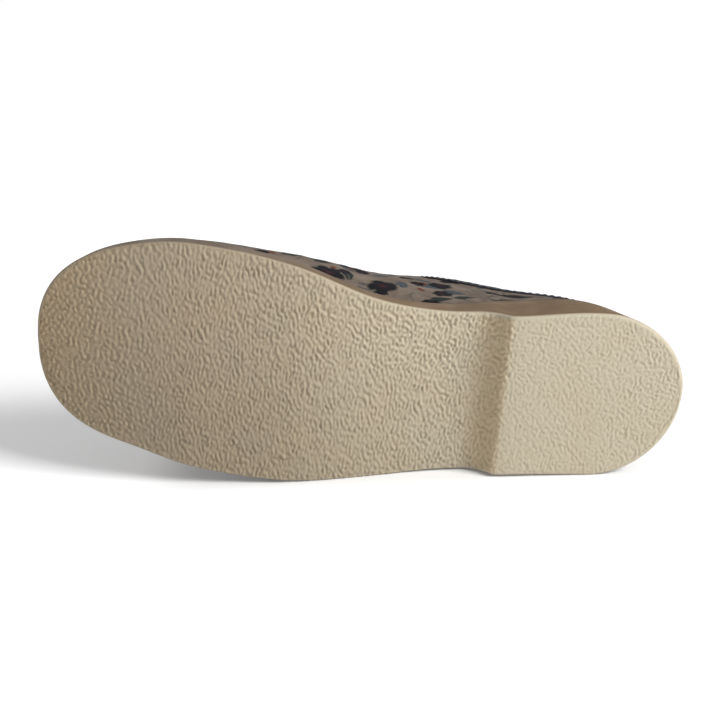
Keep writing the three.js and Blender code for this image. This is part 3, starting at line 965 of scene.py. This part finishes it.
def tapeMaterial():
    n = Nodes("foldedTape")
    place = uvMm(n)
    x, y, _ = n.split(place)
    twill = n.math("SINE", n.math("MULTIPLY", n.math("ADD", x, n.math("MULTIPLY", y, 1.4)), 7.5))
    cross = n.math("SINE", n.math("MULTIPLY", y, 9.0))
    weave = n.math("ADD", n.math("MULTIPLY", twill, 0.6), n.math("MULTIPLY", cross, 0.4))
    wear = n.noise(place, 0.16, 3, 0.6)
    colour = n.mix(n.ramp(weave, -0.9, 0.9), binding["navy"], binding["navyPale"])
    colour = n.mix(n.ramp(wear, 0.5, 0.8, 0.0, 0.35), colour, binding["worn"])
    normal = n.bump(weave, 0.5, 0.00012)
    return n.finish(colour, 0.86, normal, Specular_IOR_Level=0.2, Sheen_Weight=0.2)


def makeBinding():
    b = binding
    half, reach = last["wall"] / 2, b["skirt"]
    face = half + b["tape"]
    # half of the section, out from the felt and down from its edge, then round the fold
    skirt = [
        (half - 0.6, 1.0), (half - 0.1, reach), (half + b["tape"] * 0.6, reach + 0.1),
        (face, reach - 0.4), (face, reach * 0.5), (face, 0.8),
    ]
    turn = np.linspace(b["foldFrom"], math.pi - b["foldFrom"], b["turn"])
    wide = b["roll"] * b["squash"]
    fold = [(wide * math.cos(a), -b["centre"] - b["roll"] * math.sin(a)) for a in turn]
    section = np.array(skirt + fold + [(-p, q) for p, q in skirt[::-1]])
    count, n = len(edge), len(section)
    lengthwise = np.arange(count) * edgeLength / count
    ripple = bandNoise(**b["ripple"])(lengthwise, np.full(count, 60.0))
    across = section[None, :, 0] * (1 + b["rippleHigh"] * ripple)[:, None]
    points = edge[:, None] + outwards[:, None] * across[..., None]
    points = points + downs[:, None] * section[None, :, 1, None]
    faces = gridFaces(count, n, closed=True)
    top = (count - 1) * n
    faces += [(top + j, top + (j + 1) % n, (j + 1) % n, j) for j in range(n)]
    girth = np.concatenate([[0], np.cumsum(np.linalg.norm(np.diff(section, axis=0), axis=1))])
    uv = np.stack(np.broadcast_arrays(lengthwise[:, None], girth[None, :]), -1)
    piece = newPiece(
        "bindingTape", points.reshape(-1, 3), faces, [tapeMaterial()], None, uv.reshape(-1, 2)
    )
    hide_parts("collar_binding")


def threadMaterial(name, colour):
    n = Nodes(name)
    place = n.add("ShaderNodeTexCoord").outputs["Object"]
    twist = n.noise(place, 900.0, 2)
    tint = n.mix(n.ramp(twist, 0.3, 0.7), tuple(0.7 * c for c in colour[:3]) + (1,), colour)
    return n.finish(tint, 0.7, n.bump(twist, 0.5, 0.0001), Specular_IOR_Level=0.3)


def stitchRow(name, starts, ends, lifts, thick, material):
    sides, rings = 8, np.linspace(0, 1, 7)
    points, faces = [], []
    for start, end, lift in zip(starts, ends, lifts):
        first = len(points)
        run = end - start
        across = np.cross(run, lift)
        across /= np.linalg.norm(across)
        for t in rings:
            swell = math.sqrt(max(1 - (2 * t - 1) ** 4, 0.03))
            sink = -0.35 * thick * (2 * t - 1) ** 2
            middle = start + run * t + lift * (sink + thick * 0.25)
            for k in range(sides):
                a = 2 * math.pi * k / sides
                off = across * math.cos(a) + lift * math.sin(a)
                points.append(middle + off * thick / 2 * swell)
        faces += gridFaces(len(rings), sides, closed=True, first=first)
        faces.append(tuple(first + k for k in range(sides))[::-1])
        faces.append(tuple(first + (len(rings) - 1) * sides + k for k in range(sides)))
    newPiece(name, np.array(points), faces, [material])


def makeStitches():
    b = binding
    count = int(edgeLength / b["stitchEvery"])
    places = np.arange(count) / count * len(edge)
    span = b["stitchLong"] / edgeLength * len(edge)

    def at(values, place):
        i = np.floor(place).astype(int)
        t = (place - i)[:, None]
        return values[i % len(edge)] * (1 - t) + values[(i + 1) % len(edge)] * t

    starts, ends, lifts = [], [], []
    for face in (1, -1):
        off = last["wall"] / 2 + b["tape"]
        for place, bag in ((places, starts), (places + span, ends)):
            p = at(edge, place) + face * off * at(outwards, place)
            bag.append(p + at(downs, place) * (b["skirt"] - b["stitchUp"]))
        lifts.append(face * at(outwards, places))
    thread = threadMaterial("navyThread", b["thread"])
    stitchRow(
        "bindingStitches", np.concatenate(starts), np.concatenate(ends),
        np.concatenate(lifts), b["stitchThick"], thread,
    )


makeBinding()
makeStitches()


# Insole: fleece sock over a soft footbed

insole = {
    "stations": 170,
    "across": 56,
    "clear": 0.35,
    "crown": 0.5,
    "heelDip": 0.9,
    "heelDipAt": (36, 24),  # middle and half length
    "ballDip": 0.7,
    "ballDipAt": (178, 28),
    "up": 2.0,  # height over the sole at which its outline is taken
    "edgeRound": 1.4,
    "edgeFrom": 0.94,  # share of the half width where the edge starts to round
    "curls": {"seed": 51, "wave": 2.6, "spread": 0.45, "step": 0.5},
    "curlsHigh": 0.14,
    "pale": rgb(206, 192, 168),
    "deep": rgb(158, 142, 116),
}


def insoleTop(x, t):
    dip = insole["heelDip"] * bell(x, *insole["heelDipAt"])
    dip = dip + insole["ballDip"] * bell(x, *insole["ballDipAt"])
    return last["insoleThickness"] - insole["crown"] * t**4 - dip * (1 - t**2)


def makeInsole():
    share = cosineSpaced(0.002, 0.998, insole["stations"])
    t = np.linspace(-1, 1, insole["across"] + 1)[None, :]
    inset = last["wall"] + last["gap"] + insole["clear"]
    inner, outer = (upperPoint(share, side, insole["up"], inset) for side in (1, -1))
    y = np.where(t > 0, inner[:, 1:2] * t, -outer[:, 1:2] * t)
    x = np.broadcast_to(inner[:, :1], y.shape)
    bottom = featherHeight(share)[:, None] + last["gap"]
    fromEdge = np.clip((np.abs(t) - insole["edgeFrom"]) / (1 - insole["edgeFrom"]), 0, 1)
    top = bottom + insoleTop(x, t) - insole["edgeRound"] * (1 - np.sqrt(1 - fromEdge**2))
    curls = bandNoise(**insole["curls"])(x, y + sole["middle"])
    top = top + insole["curlsHigh"] * np.abs(curls) - 0.1
    low = np.broadcast_to(bottom + 0.15, top.shape)
    over = np.stack([x, y, top], -1)
    under = np.stack([x, y, low], -1)[:, ::-1]
    ring = np.concatenate([over, under], 1)
    faces = gridFaces(len(share), ring.shape[1], closed=True)
    n = ring.shape[1]
    lastRow = (len(share) - 1) * n
    half = n // 2
    for j in range(half - 1):
        faces.append((j, n - 1 - j, n - 2 - j, j + 1))
        faces.append((lastRow + j, lastRow + j + 1, lastRow + n - 2 - j, lastRow + n - 1 - j))
    points = ring.reshape(-1, 3)
    material = fleeceMaterial("sockFleece", insole["pale"], insole["deep"])
    piece = newPiece("fleeceInsole", points, faces, [material], None, points[:, :2])
    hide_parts("insole")


makeInsole()


# Floor, light and camera

studio = {
    "floorHalf": 6.0,
    "floor": rgb(228, 228, 228),
    "floorPale": rgb(236, 236, 236),
    "glowNear": 0.27,  # the floor's own glow, and how far from the shoe it grows
    "glowFar": 0.8,
    "glowFrom": 0.2,
    "glowTo": 0.75,
    "footprint": (0.083, 0.048, 0),
    "footprintMiddle": (0.018, 0, 0),
    "contactReach": (0.036, 0.012, 1),
    "contactShadowGlow": 0.38,
    "sky": 0.26,
    "keyPlace": (1.6, -0.85, 1.35),
    "keyAim": (0.08, -0.05, 0.05),
    "keySize": (0.8, 0.8),
    "keyWatts": 66.0,
    "backPlace": (-0.3, 1.5, 0.6),
    "backAim": (0, 0, 0.03),
    "backSize": (0.9, 0.9),
    "backWatts": 8.0,
}


def makeFloor():
    half = studio["floorHalf"]
    corners = [(-half, -half, 0), (half, -half, 0), (half, half, 0), (-half, half, 0)]
    mesh = bpy.data.meshes.new("studioFloor")
    mesh.from_pydata(corners, [], [(0, 1, 2, 3)])
    n = Nodes("paleFloor")
    place = n.add("ShaderNodeTexCoord").outputs["Object"]
    grain = n.noise(place, 300.0, 2)
    colour = n.mix(n.ramp(grain, 0.3, 0.7, 0.0, 0.03), studio["floor"], studio["floorPale"])
    # painted light: the sweep glows as if lit from below, more so away from the shoe
    reach, glows = (studio["glowFrom"], studio["glowTo"]), (studio["glowNear"], studio["glowFar"])
    glow = n.ramp(n.length(place), *reach, *glows)
    # painted contact shadow: the glow is much weaker where the shoe touches it
    apart = n.vector("ABSOLUTE", n.vector("SUBTRACT", place, studio["footprintMiddle"]))
    apart = n.vector("MAXIMUM", n.vector("SUBTRACT", apart, studio["footprint"]))
    apart = n.vector("DIVIDE", apart, studio["contactReach"])
    contact = n.ramp(n.length(apart), 0.0, 1.0, studio["contactShadowGlow"], 1.0)
    glow = n.math("MULTIPLY", glow, contact)
    n.set(n.shader.inputs["Emission Strength"], glow)
    n.set(n.shader.inputs["Emission Color"], (1, 1, 1, 1))
    mesh.materials.append(n.finish(colour, 0.9, None, Specular_IOR_Level=0.1))
    floor = bpy.data.objects.new("studioFloor", mesh)
    bpy.context.scene.collection.objects.link(floor)
    floor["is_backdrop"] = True


def softLight(name, size, watts, place, aim):
    light = bpy.data.lights.new(name, "AREA")
    light.shape = "RECTANGLE"
    light.size, light.size_y = size
    light.energy = watts
    lamp = bpy.data.objects.new(name, light)
    lamp.location = place
    towards = Vector(aim) - Vector(place)
    lamp.rotation_euler = towards.to_track_quat("-Z", "Y").to_euler()
    bpy.context.scene.collection.objects.link(lamp)


def makeLights():
    world = bpy.data.worlds.new("studioWorld")
    world.use_nodes = True
    sky = world.node_tree.nodes["Background"]
    sky.inputs["Color"].default_value = (1, 1, 1, 1)
    sky.inputs["Strength"].default_value = studio["sky"]
    bpy.context.scene.world = world
    for name in ("key", "back"):
        softLight(
            name + "Light", studio[name + "Size"], studio[name + "Watts"],
            studio[name + "Place"], studio[name + "Aim"],
        )


# The camera looks square across the shoe's width and 21 degrees down on its inner edge.
view = {
    "distance": 420.0,
    "tilt": math.radians(21),
    "roll": math.radians(4.4),
    "target": (131.0, 5.5, 0.0),
    "pixels": 1045.0,
    "frame": 720.0,
}


def makeCamera():
    forward = np.array([0, -math.sin(view["tilt"]), math.cos(view["tilt"])])
    right = np.cross(forward, [0, 1, 0])
    right /= np.linalg.norm(right)
    up = np.cross(right, forward)
    c, s = math.cos(view["roll"]), math.sin(view["roll"])
    right, up = c * right + s * up, c * up - s * right
    place = np.array(view["target"]) - view["distance"] * forward
    camera = bpy.data.cameras.new("photoCamera")
    camera.sensor_width = 36
    camera.lens = 36 * view["pixels"] / view["frame"]
    camera.clip_start = 0.01
    camera.clip_end = 50
    eye = bpy.data.objects.new("photoCamera", camera)
    columns = [Vector(v @ shoeAxes) for v in (right, up, -forward)]
    turn = Matrix(columns).transposed().to_4x4()
    eye.matrix_world = Matrix.Translation(Vector(toRow(place))) @ turn
    bpy.context.scene.collection.objects.link(eye)
    bpy.context.scene.camera = eye


makeFloor()
makeLights()
makeCamera()
bpy.context.scene.view_settings.view_transform = "Standard"
print("stage, light and camera set")

bpy.context.view_layer.update()
[[list(map(float, c)) for c in box] for box in (cadBox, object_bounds())]
